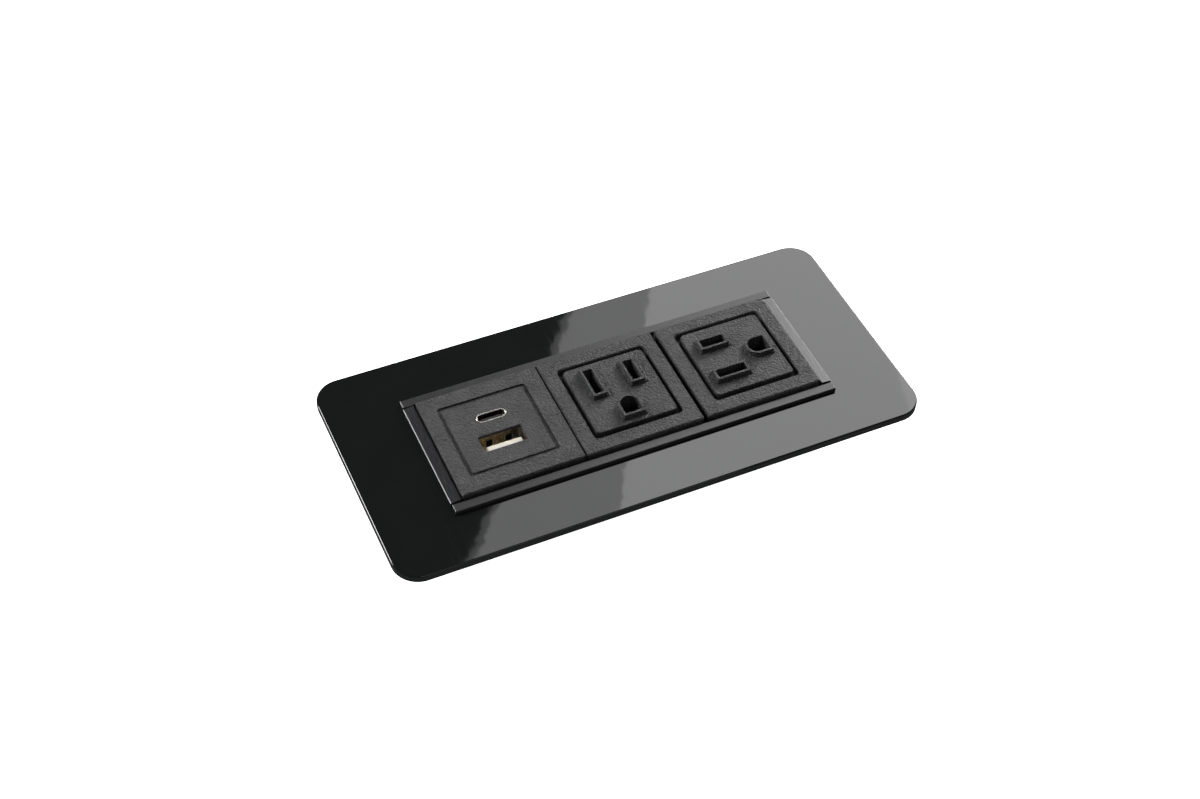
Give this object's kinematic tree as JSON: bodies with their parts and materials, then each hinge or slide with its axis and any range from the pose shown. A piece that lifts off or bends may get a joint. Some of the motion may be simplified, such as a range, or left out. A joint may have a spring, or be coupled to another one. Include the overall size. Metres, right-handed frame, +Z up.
{
  "type": "in-desk power module",
  "caption": "Flush desk-top power module: glossy bezel plate with rounded corners, a charging-port module and grounded receptacles between satin rails, with end clamps below.",
  "frame": {"origin": "middle of the housing's flat base, which is also the middle of the bounding box seen from above", "axes": "+X along the row of modules towards the cord gland, +Y towards the back, +Z up out of the desk top"},
  "size_m": [0.167, 0.0772, 0.0332],
  "materials": {
    "plate_black": "high gloss, polished top and rounded edge",
    "gasket_foam": "closed-cell foam",
    "rail_black": "satin black anodised extrusion",
    "cap_black": "moulded, fine grain",
    "trim_black": "satin black",
    "module_black": "moulded, leather-like grain",
    "panel_black": "moulded, fine grain",
    "case_black": "moulded, plain",
    "port_steel": "bright nickel plate",
    "port_gold": "gold flash",
    "tongue_white": "cream moulding",
    "tongue_black": "moulded",
    "board_green": "solder mask",
    "ferrite": "sintered ferrite with yellow tape",
    "can_sleeve": "shrink sleeve",
    "copper": "enamelled wire",
    "chip_black": "epoxy",
    "contact_brass": "stamped, bright",
    "shutter_black": "smooth moulding",
    "wire_black": "PVC insulation",
    "wire_white": "PVC insulation",
    "wire_green": "PVC insulation",
    "tin": "tin plate",
    "screw_steel": "zinc plate",
    "terminal_grey": "moulded",
    "gland_black": "moulded nylon",
    "seal_rubber": "neoprene",
    "clamp_zinc": "zinc plate"
  },
  "bodies": {
    "housing": {"bezel_plate": "plate_black", "board_pins": "tin", "bonding_screw": "screw_steel", "bulk_capacitors": "can_sleeve", "channel_extrusion": "rail_black", "choke_coil": "copper", "controller_chips": "chip_black", "desk_gasket": "gasket_foam", "end_cap_left": "cap_black", "end_cap_right": "cap_black", "end_cap_screws": "screw_steel", "end_trim_left": "trim_black", "end_trim_right": "trim_black", "gland_body": "gland_black", "gland_cap": "gland_black", "gland_locknut": "gland_black", "gland_seal": "seal_rubber", "ground_lug": "tin", "ground_wire": "wire_green", "hot_wire": "wire_black", "neutral_wire": "wire_white", "outlet_1_body": "case_black", "outlet_1_face": "module_black", "outlet_1_frame": "module_black", "outlet_1_ground_contact": "contact_brass", "outlet_1_hot_contact": "contact_brass", "outlet_1_neutral_contact": "contact_brass", "outlet_2_body": "case_black", "outlet_2_face": "module_black", "outlet_2_frame": "module_black", "outlet_2_ground_contact": "contact_brass", "outlet_2_hot_contact": "contact_brass", "outlet_2_neutral_contact": "contact_brass", "port_board": "board_green", "power_board": "board_green", "terminal_block": "terminal_grey", "terminal_screws": "screw_steel", "transformer": "ferrite", "usb_a_contacts": "port_gold", "usb_a_shell": "port_steel", "usb_a_tongue": "tongue_white", "usb_c_contacts": "port_gold", "usb_c_shell": "port_steel", "usb_c_tongue": "tongue_black", "usb_case": "case_black", "usb_frame": "module_black", "usb_insert": "panel_black"},
    "outlet_1_hot_gate": {"outlet_1_hot_shutter": "shutter_black"},
    "outlet_1_neutral_gate": {"outlet_1_neutral_shutter": "shutter_black"},
    "outlet_2_hot_gate": {"outlet_2_hot_shutter": "shutter_black"},
    "outlet_2_neutral_gate": {"outlet_2_neutral_shutter": "shutter_black"},
    "clamp_screw_left_body": {"clamp_screw_left": "screw_steel", "clamp_clip_left": "tin"},
    "clamp_dog_left_body": {"clamp_dog_left": "clamp_zinc"},
    "clamp_screw_right_body": {"clamp_screw_right": "screw_steel", "clamp_clip_right": "tin"},
    "clamp_dog_right_body": {"clamp_dog_right": "clamp_zinc"}
  },
  "joints": [
    {"name": "outlet_1_hot_gate_slide", "type": "slide", "parent": "housing", "child": "outlet_1_hot_gate", "axis": [1, 0, 0], "range_m": [0, 0.0035], "stiffness_N_per_m": 60, "springref_m": -0.002},
    {"name": "outlet_1_neutral_gate_slide", "type": "slide", "parent": "housing", "child": "outlet_1_neutral_gate", "axis": [-1, 0, 0], "range_m": [0, 0.0035], "stiffness_N_per_m": 60, "springref_m": -0.002},
    {"name": "outlet_2_hot_gate_slide", "type": "slide", "parent": "housing", "child": "outlet_2_hot_gate", "axis": [0, 1, 0], "range_m": [0, 0.0035], "stiffness_N_per_m": 60, "springref_m": -0.002},
    {"name": "outlet_2_neutral_gate_slide", "type": "slide", "parent": "housing", "child": "outlet_2_neutral_gate", "axis": [0, -1, 0], "range_m": [0, 0.0035], "stiffness_N_per_m": 60, "springref_m": -0.002},
    {"name": "clamp_screw_left_turn", "type": "hinge", "parent": "housing", "child": "clamp_screw_left_body", "pos_m": [-0.066, -0.008, 0.003], "axis": [0, 0, -1], "range_deg": [0, 3970]},
    {"name": "clamp_dog_left_slide", "type": "slide", "parent": "housing", "child": "clamp_dog_left_body", "axis": [0, 0, 1], "range_m": [0, 0.0077]},
    {"name": "clamp_screw_right_turn", "type": "hinge", "parent": "housing", "child": "clamp_screw_right_body", "pos_m": [0.066, 0.008, 0.003], "axis": [0, 0, -1], "range_deg": [0, 3970]},
    {"name": "clamp_dog_right_slide", "type": "slide", "parent": "housing", "child": "clamp_dog_right_body", "axis": [0, 0, 1], "range_m": [0, 0.0077]}
  ],
  "couplings": [
    {"joint": "clamp_screw_left_turn", "follows": "clamp_dog_left_slide", "rad_per_m": 8976},
    {"joint": "clamp_screw_right_turn", "follows": "clamp_dog_right_slide", "rad_per_m": 8976}
  ]
}
